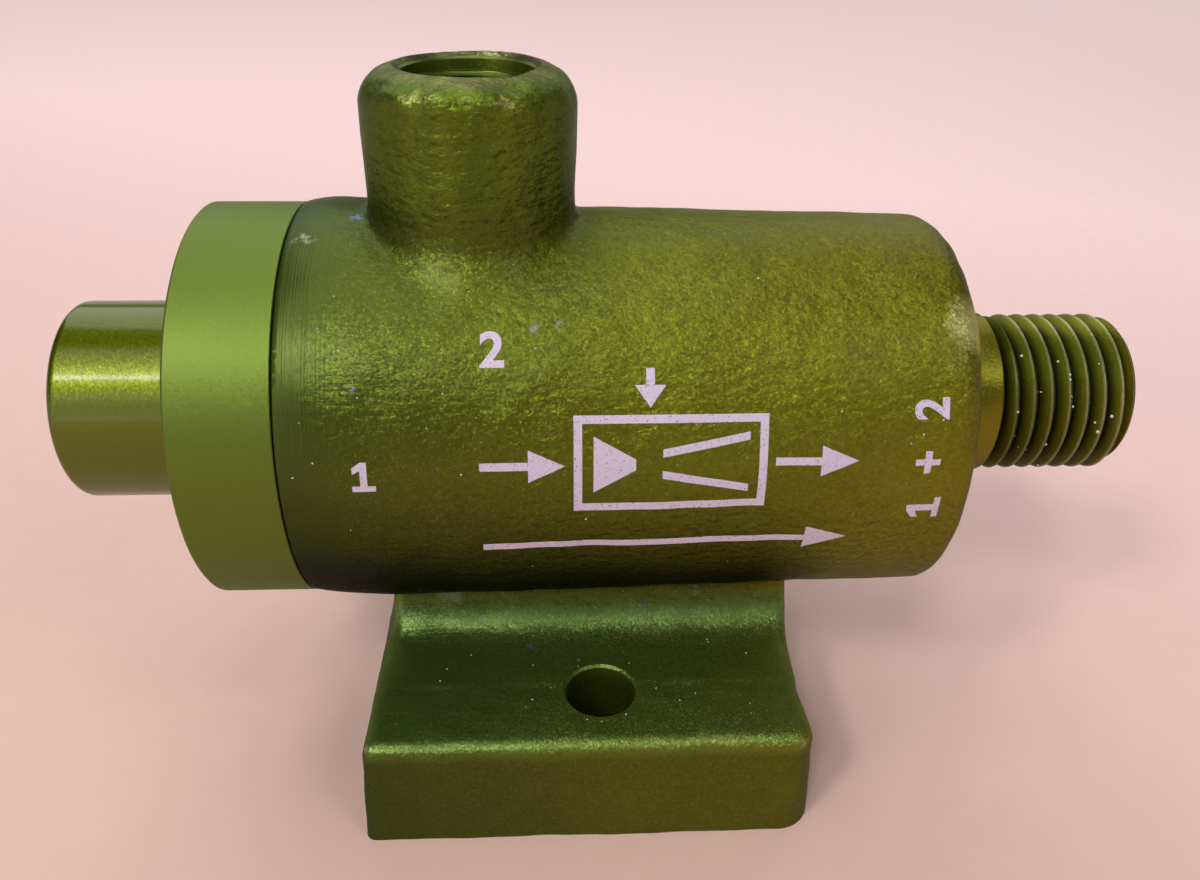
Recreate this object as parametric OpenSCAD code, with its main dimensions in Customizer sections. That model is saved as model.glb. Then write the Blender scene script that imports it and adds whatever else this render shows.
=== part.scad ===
// Vacuum ejector: a cast aluminium body on a foot, a turned supply cap, and the
// nozzle and diffuser inside that draw air in through the boss on top.
// The air way runs along +X, from the supply port to the exhaust thread.
// The origin is on the foot's face, midway between the two foot holes.

/* [Barrel] */
// Height of the air way's centre line above the foot's face
axis_h = 32.5; // [30:0.5:38]
// Distance from the foot holes to the barrel's turned face
face_to_holes = 23; // [21:0.5:26]
// Length of the barrel, from its turned face to its closed end
barrel_l = 50.2; // [46:0.2:58]
// Largest diameter of the barrel's cast skin
skin_d = 33.1; // [32.4:0.1:35]
// Draft of the cast skin towards the closed end, in degrees
skin_draft = 1.45; // [1:0.05:2]
// How far the cast skin leans down towards the closed end, in degrees
skin_lean = 0.45; // [0:0.05:0.8]
// Width of the band turned next to the face
band_w = 3.6; // [2.5:0.1:5]
// Rounding of the closed end's rim
end_r = 1.8; // [1:0.1:3]
// Chamfer on the turned face's rim
face_chamfer = 0.35; // [0.2:0.05:0.5]

/* [Foot] */
// Length of the foot along the air way
foot_l = 37; // [33:0.5:42]
// Width of the foot across the air way
foot_w = 37; // [34:0.5:44]
// Thickness of the foot
foot_t = 10.4; // [8:0.2:12]
// How far the foot's middle lies towards the supply side of its holes
foot_shift = 0.95; // [0:0.05:1.5]
// Rounding along the foot's upper edges
foot_edge_r = 1.1; // [0.6:0.1:2]
// Corner radius of the foot at the supply end
foot_corner_supply = 0.9; // [0.5:0.1:3]
// Corner radius of the foot at the exhaust end
foot_corner_exhaust = 3; // [1:0.5:5]
// Diameter of the foot holes
foot_hole_d = 5.9; // [4:0.1:7]
// Distance between the foot holes
foot_hole_pitch = 24.4; // [22:0.2:28]
// Chamfer at the foot holes' mouths
foot_hole_chamfer = 0.25; // [0.1:0.05:0.5]
// Thickness of the leg between foot and barrel
leg_t = 5.4; // [4:0.2:9]
// How far the leg's ends stand in from the foot's ends
leg_inset = 0.85; // [0.4:0.05:2]
// Fillet between leg and foot
leg_fillet_r = 3.4; // [2:0.2:5]

/* [Vacuum boss] */
// Distance from the barrel's turned face to the boss's axis
boss_to_face = 13.2; // [12:0.2:16]
// Diameter of the boss
boss_d = 15.6; // [14:0.2:18]
// Height of the boss's rim above the air way's centre line
boss_h = 26.5; // [24:0.5:32]
// Rounding of the boss's rim
boss_rim_r = 1.2; // [0.6:0.1:1.6]
// Fillet at the boss's foot
boss_fillet_r = 3; // [2:0.2:4]

/* [Ports] */
// Bore of the vacuum and supply ports, at the thread's effective diameter
port_d = 9.4; // [8.4:0.1:10.4]
// Depth of the ports' threaded bore
port_depth = 10.5; // [8:0.5:12]
// Chamfer at the ports' mouths
port_chamfer = 0.5; // [0.2:0.1:0.8]
// Passage below the vacuum port's thread
vacuum_way_d = 8; // [5:0.5:8.4]

/* [Exhaust stub] */
// Diameter of the plain collar behind the exhaust thread
collar_d = 13.3; // [12.8:0.1:16]
// Length of that collar
collar_l = 5.6; // [3:0.2:8]
// Major diameter of the exhaust thread
thread_d = 13.1; // [12:0.1:14]
// Length of the exhaust thread
thread_l = 10.8; // [8:0.2:14]
// Depth of the relief groove behind the thread
relief_depth = 0.9; // [0.4:0.1:1.2]
// Width of that groove
relief_w = 1; // [0.6:0.1:1.6]
// Chamfer at the thread's free end
thread_chamfer = 0.9; // [0.5:0.1:1.2]
// Exhaust bore
exhaust_d = 8.6; // [6.8:0.2:9]

/* [Supply cap] */
// Diameter of the cap's flange and of the body's turned face
flange_d = 31.8; // [30:0.1:32]
// Thickness of the flange
flange_t = 7.1; // [5:0.1:10]
// Chamfer on the flange's rims
flange_chamfer = 0.3; // [0.1:0.05:0.6]
// Diameter of the hub
hub_d = 15.9; // [14:0.1:18]
// Length of the hub
hub_l = 11.4; // [9:0.2:16]
// Rounding of the hub's free rim
hub_rim_r = 0.8; // [0.3:0.1:1.5]
// Diameter of the threaded spigot that screws into the body
spigot_d = 23; // [21.4:0.2:25]
// Length of that spigot
spigot_l = 9.4; // [8:0.2:11]
// Passage from the supply port to the nozzle
supply_way_d = 5.5; // [4:0.5:6.5]

/* [Seals] */
// Thickness of the gasket between flange and body
gasket_t = 0.4; // [0.3:0.1:1]
// How far the gasket's rim lies inside the flange's rim
gasket_inset = 0.55; // [0.3:0.05:1.2]
// Wall of the nozzle's sealing ring
nozzle_ring_t = 1.2; // [0.8:0.1:1.4]
// Wall of the diffuser's sealing rings
diffuser_ring_t = 1.3; // [1:0.1:1.5]

/* [Nozzle] */
// Diameter of the nozzle's threaded shank
nozzle_shank_d = 8; // [7:0.2:8.4]
// Length of that shank
nozzle_shank_l = 7.4; // [5:0.2:8]
// Width of the nozzle's hexagon across its corners
nozzle_hex_d = 13.8; // [12.6:0.2:15]
// Length of that hexagon
nozzle_hex_l = 3; // [2:0.2:4]
// Length of the nozzle's nose in front of the hexagon
nozzle_nose_l = 7; // [5:0.2:8]
// Diameter of the nose's tip
nozzle_tip_d = 4.4; // [3.6:0.2:5]
// Diameter of the nozzle's throat
nozzle_throat_d = 1.8; // [1:0.1:2.4]

/* [Diffuser] */
// Outer diameter of the diffuser tube
diffuser_d = 12; // [11.4:0.2:13]
// Length of the diffuser behind its seat
diffuser_l = 23; // [20:0.5:24]
// Diameter of the diffuser's seating flange
diffuser_flange_d = 16.6; // [15:0.2:18]
// Thickness of that flange
diffuser_flange_t = 2; // [1.5:0.1:3]
// Diameter of the diffuser's throat
diffuser_throat_d = 3.4; // [2.6:0.2:4]
// Diameter of the diffuser's mouth
diffuser_mouth_d = 9; // [7:0.2:11]
// Diameter of the diffuser's outlet
diffuser_outlet_d = 6.8; // [5:0.2:7.4]
// Diameter of the chamber round the nozzle
chamber_d = 20; // [17:0.5:21]
// Distance from the chamber's start to the diffuser's seat
chamber_l = 14.8; // [14:0.2:17]

/* [Clearances] */
// Radial gap of pieces that slide or screw into a bore
slip_gap = 0.05; // [0.03:0.01:0.08]
// Gap left in front of a spigot, tube or ring that must not bottom
end_gap = 0.2; // [0.1:0.05:0.4]

/* [Hidden] */
$fn = 96;

// Depth of a through cut past its surface
cut = 1;
// Places along the air way
face_x = -face_to_holes;
end_x = face_x + barrel_l;
collar_end_x = end_x + collar_l;
tip_x = collar_end_x + thread_l;
boss_x = face_x + boss_to_face;
flange_x = face_x - gasket_t;
hub_x = flange_x - flange_t;
cap_end_x = hub_x - hub_l;
spigot_end_x = flange_x + spigot_l;
chamber_x = spigot_end_x + end_gap;
seat_x = chamber_x + chamber_l;
diffuser_end_x = seat_x + diffuser_l;
nozzle_tip_x = spigot_end_x + nozzle_hex_l + nozzle_nose_l;
// Barrel's skin: radius at the start of its taper, and where the end's rounding starts
skin_r = skin_d / 2;
skin_end_r = skin_r - (barrel_l - end_r) * tan(skin_draft);
// Foot's ends
foot_x = -foot_shift - foot_l / 2;
foot_edge_z = foot_t - foot_edge_r;
leg_wall_y = leg_t / 2;
// Angle over which the fillet at the boss's foot turns away from its wall
fillet_turn = 50;
// Height of the skin above the air way where that fillet runs out in front of the boss
fillet_out_r = boss_d / 2 + boss_fillet_r * (1 - cos(fillet_turn));
fillet_out_h = sqrt(skin_r * skin_r - fillet_out_r * fillet_out_r) - boss_to_face * tan(skin_draft);
fillet_z = axis_h + fillet_out_h + boss_fillet_r * sin(fillet_turn);
// Sealing rings and their glands
ring_side_gap = 0.15;
nozzle_gland_d = nozzle_shank_d + 2 * nozzle_ring_t + 4 * slip_gap;
diffuser_gland_r = diffuser_d / 2 + slip_gap - diffuser_ring_t;
diffuser_gland_w = diffuser_ring_t + 2 * ring_side_gap;
front_ring_x = seat_x + diffuser_gland_w * 2;
rear_ring_x = diffuser_end_x - diffuser_gland_w * 2;
// Diffuser's air way: where its bell mouth ends and where its cone starts
throat_start = 4;
throat_end = 9;

// Sets what it holds on the air way, spun about it, with heights becoming places along it
module on_airway() {
  translate([0, 0, axis_h]) rotate([0, 90, 0]) children();
}

// Spins a profile of [radius, place] points about the air way
module turned(points) {
  on_airway() rotate_extrude() polygon(points);
}

// Straight bore along the air way
module bore(from, to, d) {
  on_airway() translate([0, 0, from]) cylinder(h = to - from, d = d);
}

// Chamfer cut at a bore's mouth at the local origin, the bore lying on the +Z side
module mouth_chamfer(d, c) {
  translate([0, 0, -cut]) cylinder(h = cut + c, d1 = d + 2 * c + 2 * cut, d2 = d);
}

// Cast skin of the barrel, round at its closed end, leaning down a little
module barrel_skin() {
  rise = barrel_l - end_r;
  corner_r = skin_end_r - end_r * cos(skin_draft);
  translate([face_x, 0, axis_h])
    rotate([0, 90 + skin_lean, 0])
      rotate_extrude() {
        polygon([
          [0, -band_w], [skin_r + band_w * tan(skin_draft), -band_w],
          [corner_r + end_r * cos(skin_draft), rise + end_r * sin(skin_draft)],
          [corner_r, barrel_l], [0, barrel_l]
        ]);
        intersection() {
          translate([corner_r, rise]) circle(r = end_r);
          translate([0, -band_w]) square([skin_r, barrel_l + band_w]);
        }
      }
}

// Envelope that the lathe leaves: the face, its chamfer and the band that runs out into the skin
module turned_envelope() {
  face_r = flange_d / 2;
  turned([
    [0, face_x], [face_r - face_chamfer, face_x], [face_r, face_x + face_chamfer],
    [skin_r, face_x + band_w], [skin_r + band_w, face_x + band_w],
    [skin_r + band_w, end_x + band_w], [0, end_x + band_w]
  ]);
}

// Boss for the vacuum port, with its rounded rim and the fillet round its foot
module boss() {
  r = boss_d / 2;
  top = axis_h + boss_h;
  translate([boss_x, 0, 0]) rotate_extrude() {
    translate([0, axis_h]) square([r, boss_h - boss_rim_r]);
    translate([0, axis_h]) square([r - boss_rim_r, boss_h]);
    translate([r - boss_rim_r, top - boss_rim_r]) circle(r = boss_rim_r);
    difference() {
      translate([0, fillet_z - boss_fillet_r * sin(fillet_turn)])
        square([fillet_out_r, boss_fillet_r * sin(fillet_turn)]);
      translate([r + boss_fillet_r, fillet_z]) circle(r = boss_fillet_r);
    }
  }
}

// Plan of the foot, with its own corner radius at each end
module foot_plan() {
  long_side = foot_l - foot_corner_supply - foot_corner_exhaust;
  for (side = [-1, 1]) {
    translate([foot_x + foot_corner_supply, side * (foot_w / 2 - foot_corner_supply)])
      circle(r = foot_corner_supply);
    translate([foot_x + foot_l - foot_corner_exhaust, side * (foot_w / 2 - foot_corner_exhaust)])
      circle(r = foot_corner_exhaust);
  }
  translate([foot_x + foot_corner_supply, -foot_w / 2]) square([long_side, foot_w]);
  translate([foot_x, foot_corner_supply - foot_w / 2])
    square([foot_l / 2, foot_w - 2 * foot_corner_supply]);
  translate([foot_x + foot_l / 2, foot_corner_exhaust - foot_w / 2])
    square([foot_l / 2, foot_w - 2 * foot_corner_exhaust]);
}

// Cross-section of the foot, rounded along its upper edges
module foot_section() {
  translate([-foot_w / 2, 0]) square([foot_w, foot_edge_z]);
  translate([foot_edge_r - foot_w / 2, 0]) square([foot_w - 2 * foot_edge_r, foot_t]);
  for (side = [-1, 1])
    translate([side * (foot_w / 2 - foot_edge_r), foot_edge_z]) circle(r = foot_edge_r);
}

// Cross-section of the leg, with a fillet down to the foot on both sides
module leg_section() {
  translate([-leg_wall_y, foot_t / 2]) square([leg_t, axis_h - foot_t / 2]);
  for (side = [-1, 1])
    mirror([side < 0 ? 1 : 0, 0])
      difference() {
        translate([0, foot_t / 2])
          square([leg_wall_y + leg_fillet_r, foot_t / 2 + leg_fillet_r]);
        translate([leg_wall_y + leg_fillet_r, foot_t + leg_fillet_r]) circle(r = leg_fillet_r);
      }
}

// Foot and leg in one
module foot_and_leg() {
  intersection() {
    linear_extrude(foot_t) foot_plan();
    translate([foot_x, 0, 0]) rotate([90, 0, 90]) linear_extrude(foot_l) foot_section();
  }
  translate([foot_x + leg_inset, 0, 0])
    rotate([90, 0, 90])
      linear_extrude(foot_l - 2 * leg_inset) leg_section();
}

// Exhaust stub: plain collar, relief groove and the thread at its major diameter
module exhaust_stub() {
  r = thread_d / 2;
  root_r = r - relief_depth;
  turned([
    [0, end_x - end_r * 2], [collar_d / 2, end_x - end_r * 2],
    [collar_d / 2, collar_end_x], [root_r, collar_end_x],
    [root_r, collar_end_x + relief_w], [r, collar_end_x + relief_w + relief_depth],
    [r, tip_x - thread_chamfer], [r - thread_chamfer, tip_x], [0, tip_x]
  ]);
}

// Body: one casting, faced, bored and tapped
module body() {
  color("#4f5c1e")
    difference() {
      union() {
        intersection() {
          barrel_skin();
          turned_envelope();
        }
        boss();
        foot_and_leg();
        exhaust_stub();
      }
      // Bores along the air way
      bore(face_x - cut, chamber_x, spigot_d + 2 * slip_gap);
      bore(chamber_x - cut, seat_x, chamber_d);
      bore(seat_x - cut, diffuser_end_x + end_gap, diffuser_d + 2 * slip_gap);
      bore(diffuser_end_x, tip_x + cut, exhaust_d);
      // Vacuum port and the passage below it
      translate([boss_x, 0, axis_h]) cylinder(h = boss_h, d = vacuum_way_d);
      translate([boss_x, 0, axis_h + boss_h - port_depth]) cylinder(h = port_depth + cut, d = port_d);
      translate([boss_x, 0, axis_h + boss_h]) mirror([0, 0, 1]) mouth_chamfer(port_d, port_chamfer);
      // Foot holes
      for (side = [-1, 1])
        translate([0, side * foot_hole_pitch / 2, 0]) {
          translate([0, 0, -cut]) cylinder(h = foot_t + 2 * cut, d = foot_hole_d);
          mouth_chamfer(foot_hole_d, foot_hole_chamfer);
          translate([0, 0, foot_t]) mirror([0, 0, 1]) mouth_chamfer(foot_hole_d, foot_hole_chamfer);
        }
    }
}

// Supply cap: hub, flange and threaded spigot turned from one bar
module inlet_cap() {
  hub_r = hub_d / 2;
  flange_r = flange_d / 2;
  spigot_r = spigot_d / 2;
  spigot_chamfer = flange_chamfer * 2;
  color("#66752c")
    difference() {
      on_airway() rotate_extrude() {
        polygon([
          [0, cap_end_x], [hub_r - hub_rim_r, cap_end_x], [hub_r, cap_end_x + hub_rim_r],
          [hub_r, hub_x], [flange_r - flange_chamfer, hub_x], [flange_r, hub_x + flange_chamfer],
          [flange_r, flange_x - flange_chamfer], [flange_r - flange_chamfer, flange_x],
          [spigot_r, flange_x], [spigot_r, spigot_end_x - spigot_chamfer],
          [spigot_r - spigot_chamfer, spigot_end_x], [0, spigot_end_x]
        ]);
        translate([hub_r - hub_rim_r, cap_end_x + hub_rim_r]) circle(r = hub_rim_r);
      }
      bore(cap_end_x - cut, cap_end_x + port_depth, port_d);
      bore(cap_end_x, spigot_end_x, supply_way_d);
      bore(spigot_end_x - nozzle_shank_l - end_gap, spigot_end_x + cut, nozzle_shank_d + 2 * slip_gap);
      bore(spigot_end_x - nozzle_ring_t, spigot_end_x + cut, nozzle_gland_d);
      on_airway() translate([0, 0, cap_end_x]) mouth_chamfer(port_d, port_chamfer);
    }
}

// Flat gasket between flange and body, set in a little from their rims
module cap_gasket() {
  color("#161616")
    difference() {
      bore(flange_x, face_x, flange_d - 2 * gasket_inset);
      bore(flange_x - cut, face_x + cut, spigot_d + 2 * slip_gap);
    }
}

// Nozzle: shank screwed into the cap, hexagon seated on the spigot, nose in the chamber
module nozzle() {
  shank_r = nozzle_shank_d / 2;
  tip_r = nozzle_tip_d / 2;
  throat_r = nozzle_throat_d / 2;
  hex_end_x = spigot_end_x + nozzle_hex_l;
  inlet_r = supply_way_d / 2 - slip_gap;
  color("#b08d3f")
    difference() {
      union() {
        turned([
          [0, spigot_end_x - nozzle_shank_l], [shank_r, spigot_end_x - nozzle_shank_l],
          [shank_r, hex_end_x + nozzle_nose_l / 3], [tip_r, nozzle_tip_x], [0, nozzle_tip_x]
        ]);
        on_airway() translate([0, 0, spigot_end_x]) cylinder(h = nozzle_hex_l, d = nozzle_hex_d, $fn = 6);
      }
      turned([
        [0, spigot_end_x - nozzle_shank_l - cut], [inlet_r, spigot_end_x - nozzle_shank_l - cut],
        [inlet_r, hex_end_x], [throat_r, nozzle_tip_x - nozzle_nose_l / 3],
        [throat_r, nozzle_tip_x + cut], [0, nozzle_tip_x + cut]
      ]);
    }
}

// Round sealing ring on the air way, by its inner radius, its wall and its middle
module sealing_ring(inner_r, wall, x) {
  color("#161616")
    on_airway() rotate_extrude() translate([inner_r + wall / 2, x]) circle(d = wall, $fn = 48);
}

// Ring under the nozzle's hexagon
module nozzle_ring() {
  sealing_ring(nozzle_shank_d / 2 + slip_gap, nozzle_ring_t, spigot_end_x - nozzle_ring_t / 2);
}

// Diffuser: seating flange, tube with two glands, bell mouth, throat and widening cone
module diffuser() {
  tube_r = diffuser_d / 2;
  mouth_x = seat_x - diffuser_flange_t;
  color("#b9bcbe")
    difference() {
      turned([
        [0, mouth_x], [diffuser_flange_d / 2, mouth_x], [diffuser_flange_d / 2, seat_x],
        [tube_r, seat_x], [tube_r, diffuser_end_x], [0, diffuser_end_x]
      ]);
      turned([
        [0, mouth_x - cut], [diffuser_mouth_d / 2, mouth_x - cut], [diffuser_mouth_d / 2, mouth_x],
        [diffuser_throat_d / 2, mouth_x + throat_start], [diffuser_throat_d / 2, mouth_x + throat_end],
        [diffuser_outlet_d / 2, diffuser_end_x], [diffuser_outlet_d / 2, diffuser_end_x + cut],
        [0, diffuser_end_x + cut]
      ]);
      for (x = [front_ring_x, rear_ring_x])
        difference() {
          bore(x - diffuser_gland_w / 2, x + diffuser_gland_w / 2, diffuser_d + cut);
          bore(x - diffuser_gland_w, x + diffuser_gland_w, 2 * diffuser_gland_r);
        }
    }
}

// Sealing ring near the diffuser's seat
module diffuser_front_ring() {
  sealing_ring(diffuser_gland_r, diffuser_ring_t, front_ring_x);
}

// Sealing ring near the diffuser's outlet
module diffuser_rear_ring() {
  sealing_ring(diffuser_gland_r, diffuser_ring_t, rear_ring_x);
}

body();
inlet_cap();
cap_gasket();
nozzle();
nozzle_ring();
diffuser();
diffuser_front_ring();
diffuser_rear_ring();
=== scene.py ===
import math

import bmesh
import bpy
import numpy as np
from mathutils import Matrix, Vector
from mathutils.bvhtree import BVHTree


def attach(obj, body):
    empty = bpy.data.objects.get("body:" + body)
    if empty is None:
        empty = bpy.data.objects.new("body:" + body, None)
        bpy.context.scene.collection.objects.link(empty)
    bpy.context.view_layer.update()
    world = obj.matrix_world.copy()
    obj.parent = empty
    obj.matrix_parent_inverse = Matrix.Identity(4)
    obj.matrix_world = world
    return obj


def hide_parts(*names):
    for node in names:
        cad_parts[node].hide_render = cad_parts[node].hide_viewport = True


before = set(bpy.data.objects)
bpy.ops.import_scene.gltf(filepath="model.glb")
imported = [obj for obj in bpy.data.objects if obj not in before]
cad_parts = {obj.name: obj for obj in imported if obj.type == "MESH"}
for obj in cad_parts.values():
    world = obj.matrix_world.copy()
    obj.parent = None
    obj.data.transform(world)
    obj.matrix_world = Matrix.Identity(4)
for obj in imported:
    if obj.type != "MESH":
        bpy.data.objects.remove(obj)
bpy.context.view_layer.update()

# --- Camera ---------------------------------------------------------------------------------
# Close wide view from in front and above, turned a little to the exhaust side, and slightly rolled.
camera = bpy.data.objects.new("camera", bpy.data.cameras.new("camera"))
camera.data.lens = 30.48
camera.data.sensor_width = 36
camera.data.clip_start = 0.005
camera_yaw, camera_pitch, camera_roll = (math.radians(a) for a in (3.056, 29.902, 0.923))
camera.matrix_world = (
    Matrix.Translation((-0.00383, -0.07659, 0.07213))
    @ Matrix.Rotation(-camera_yaw, 4, "Z")
    @ Matrix.Rotation(math.pi / 2 - camera_pitch, 4, "X")
    @ Matrix.Rotation(camera_roll, 4, "Z")
)
bpy.context.scene.collection.objects.link(camera)
bpy.context.scene.camera = camera
bpy.context.scene.view_settings.view_transform = "Standard"

# --- Body casting ---------------------------------------------------------------------------
# Sand-cast aluminium: barrel, vacuum boss, leg and foot in one skin with soft fillets. The skin
# is worked out as a distance field in millimetres and then machined, as the real casting is.
MM = 0.001
AXIS_Z = 32.5
FACE_X, BARREL_END_X, COLLAR_END_X, TIP_X = -23.0, 27.3, 32.35, 43.5
BARREL_R, BARREL_TAPER, COLLAR_R = 15.45, 0.021, 6.75
BOSS_X, BOSS_R, BOSS_TOP_Z = -9.65, 7.88, 59.0
FOOT_X, FOOT_HALF_L, FOOT_HALF_W, FOOT_T, FOOT_EDGE_R = -0.95, 18.68, 18.5, 10.4, 1.1
LEG_X, LEG_HALF_L, LEG_HALF_T, LEG_FILLET_R = -0.45, 18.05, 2.7, 5.0
HOLE_Y, HOLE_R = 12.2, 2.95


def waves(seed, wavelength, count=14):
    """A smooth random field of about unit height whose bumps are that many millimetres apart."""
    rng = np.random.default_rng(seed)
    direction = rng.normal(size=(count, 3))
    direction /= np.linalg.norm(direction, axis=1)[:, None]
    vector = direction * (2 * np.pi / wavelength) * rng.uniform(0.7, 1.3, (count, 1))
    phase = rng.uniform(0, 2 * np.pi, count)

    def value(x, y, z):
        total = sum(np.sin(v[0] * x + v[1] * y + v[2] * z + p) for v, p in zip(vector, phase))
        return total * math.sqrt(2 / count)

    return value


def fuse(a, b, r):
    """Joins two distance fields with a fillet of radius r."""
    return np.maximum(r, np.minimum(a, b)) - np.hypot(np.maximum(r - a, 0), np.maximum(r - b, 0))


def limit(a, b, r):
    """Common part of two distance fields, its edge rounded by radius r."""
    return np.hypot(np.maximum(a + r, 0), np.maximum(b + r, 0)) + np.minimum(np.maximum(a, b) + r, 0) - r


long_swell, short_swell, rim_dents = waves(3, 11), waves(5, 3.2), waves(8, 2.4)


def casting(x, y, z):
    """Distance to the raw casting's skin, before any machining."""
    # Barrel: tapered, and a little low towards the exhaust end
    fade = np.exp(-(x + 19) / 8)
    face_fade = np.exp(-np.maximum(x - FACE_X + 0.3, 0) / 2.2)
    centre_z = AXIS_Z + (0.40 * fade - 0.42) * (1 - face_fade)
    radius = BARREL_R + BARREL_TAPER * (22 - x) + 0.12 * fade - 0.7 * face_fade
    above = z - AXIS_Z
    end_x = BARREL_END_X - 0.15 + np.where(above > 0, 0.035, 0.02) * above
    end_r = np.maximum(1.5 + np.where(above > 0, 0.064, 0.055) * above, 0.7)
    barrel = limit(np.hypot(y, z - centre_z) - radius, x - end_x, end_r)
    # Exhaust collar
    collar = np.maximum(np.hypot(y, above) - COLLAR_R, 20 - x)
    skin = fuse(barrel, collar, 0.5)
    # Vacuum boss: rounded rim, and a fillet that is wide in front and tight at the sides
    around = np.hypot(x - BOSS_X + 0.012 * (BOSS_TOP_Z - z), y)
    facing = -y / np.maximum(around, 0.01)
    crease = np.exp(-((x - BOSS_X - 1.2) / 0.35) ** 2) * (facing > 0)
    wall = around - BOSS_R + 0.004 * (BOSS_TOP_Z - z) + 0.07 * crease
    rim_r = 2.0 - facing ** 2 * np.where(facing > 0, 1.35, 0) - 0.3 * np.clip((BOSS_X - x) / 8, 0, 1) ** 2
    dent = 0.4 * np.exp(-((x - BOSS_X - 3.4) / 1.3) ** 2) * np.maximum(facing, 0) ** 2
    top = BOSS_TOP_Z + 0.22 - (0.3 + 0.05 * facing ** 2) * np.maximum(around - 5.2, 0)
    boss = np.maximum(limit(wall, z - top + dent, rim_r), -above)
    shoulder = np.exp(-((wall + 0.4) ** 2 + (z - BOSS_TOP_Z + 0.6) ** 2) / 1.2)
    boss += (0.04 + 0.11 * np.maximum(facing, 0)) * rim_dents(x, y, z) * shoulder
    skin = fuse(skin, boss, 0.5 + 2.3 * facing ** 4 + 0.06 * np.clip(x - BOSS_X, 0, 8))
    # Foot: drafted slab with rounded upper edges and its own corner radius at each end
    aside = np.abs(y)
    half_l = FOOT_HALF_L + (FOOT_T / 2 - z) * np.where(x > 0, 0.08, 0.06)
    half_l -= np.where(x > 0, 0.03, 0) * (FOOT_HALF_W - aside)
    corner_r = np.where(x > FOOT_X, 3.1 - 0.13 * z, 0.9)
    plan = limit(np.abs(x - FOOT_X) - half_l, aside - FOOT_HALF_W, corner_r)
    foot = limit(plan, z - FOOT_T, FOOT_EDGE_R)
    # Leg: its fillet runs down to the foot on both sides, and it ends short of the foot's ends
    leg = fuse(aside - LEG_HALF_T, np.maximum(z - FOOT_T + 0.3, aside - 11), LEG_FILLET_R)
    leg_half_l = LEG_HALF_L - 0.075 * np.maximum(aside - LEG_HALF_T, 0)
    leg = limit(np.maximum(leg, above), np.abs(x - LEG_X) - leg_half_l, 0.8)
    skin = fuse(skin, leg, 2.2)
    skin = fuse(skin, foot, 0.7)
    skin -= (0.035 * long_swell(x, y, z) + 0.02 * short_swell(x, y, z)) * (1 - face_fade)
    # Stock left past the faces that are machined
    return np.maximum.reduce([skin, FACE_X - 1 - x, x - COLLAR_END_X - 1, -1 - z])


def shrink_wrap(field, low, high, step):
    """Mesh of a distance field's surface: one point in each crossed cell, drawn onto the surface."""
    axes = [np.arange(a, b + step, step) for a, b in zip(low, high)]
    value = field(*np.meshgrid(*axes, indexing="ij"))
    inside = value < 0
    corners = [(i, j, k) for i in (0, 1) for j in (0, 1) for k in (0, 1)]
    size = [n - 1 for n in value.shape]
    count = sum(inside[i:i + size[0], j:j + size[1], k:k + size[2]].astype(int) for i, j, k in corners)
    cell = np.argwhere((count > 0) & (count < 8))
    number = np.full(size, -1)
    number[tuple(cell.T)] = np.arange(len(cell))
    total, crossings = np.zeros((len(cell), 3)), np.zeros((len(cell), 1))
    for a in corners:
        for axis in (n for n in range(3) if a[n] == 0):
            start = cell + np.array(a)
            stop = start + np.eye(3, dtype=int)[axis]
            v0, v1 = value[tuple(start.T)], value[tuple(stop.T)]
            crossed = (v0 < 0) != (v1 < 0)
            share = np.where(crossed, v0 / np.where(crossed, v0 - v1, 1), 0)
            total[crossed] += (start + (stop - start) * share[:, None])[crossed]
            crossings[crossed] += 1
    point = np.array(low) + step * total / crossings
    for _ in range(4):
        here = field(*point.T)
        slope = np.array([
            (field(*(point + d).T) - field(*(point - d).T)) / 0.02 for d in np.eye(3) * 0.01
        ]).T
        point -= slope * (here / np.maximum((slope ** 2).sum(1), 0.3))[:, None]
    faces = []
    for axis in range(3):
        b, c = (axis + 1) % 3, (axis + 2) % 3
        first, last = np.eye(3, dtype=int)[axis], np.eye(3, dtype=int)
        whole = [slice(1, -1)] * 3
        whole[axis] = slice(0, -1)
        ahead = list(whole)
        ahead[axis] = slice(1, None)
        flips = np.argwhere(inside[tuple(whole)] != inside[tuple(ahead)]) + 1 - first
        around = [number[tuple((flips - db * last[b] - dc * last[c]).T)]
                  for db, dc in ((1, 1), (0, 1), (0, 0), (1, 0))]
        quad = np.array(around).T
        out = inside[tuple(flips.T)]
        faces += [quad[out], quad[~out][:, ::-1]]
    return point, np.concatenate(faces)


def mesh_piece(name, points, faces):
    """An object at the origin from points in millimetres and faces of point numbers."""
    mesh = bpy.data.meshes.new(name)
    mesh.from_pydata((np.asarray(points) * MM).tolist(), [], [list(map(int, f)) for f in faces])
    mesh.update()
    piece = bpy.data.objects.new(name, mesh)
    bpy.context.scene.collection.objects.link(piece)
    return piece


def lathe(name, profile, centre, along, steps=128):
    """Closed solid turned from [place, radius] points about a line through centre along +X or +Z."""
    angle = np.arange(steps) * 2 * np.pi / steps
    points, rings = [], []
    for place, r in profile:
        if r == 0:
            ring = [(place, 0.0, 0.0)]
        else:
            ring = [(place, r * math.cos(a), r * math.sin(a)) for a in angle]
        rings.append(range(len(points), len(points) + len(ring)))
        points += ring
    faces = []
    for low, high in zip(rings, rings[1:]):
        for n in range(steps):
            m = (n + 1) % steps
            face = [low[n % len(low)], low[m % len(low)], high[m % len(high)], high[n % len(high)]]
            faces.append([v for i, v in enumerate(face) if v not in face[:i]])
    points = np.array(points)
    if along == "Z":
        points = points[:, [1, 2, 0]]
    return mesh_piece(name, points + np.array(centre), faces)


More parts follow.
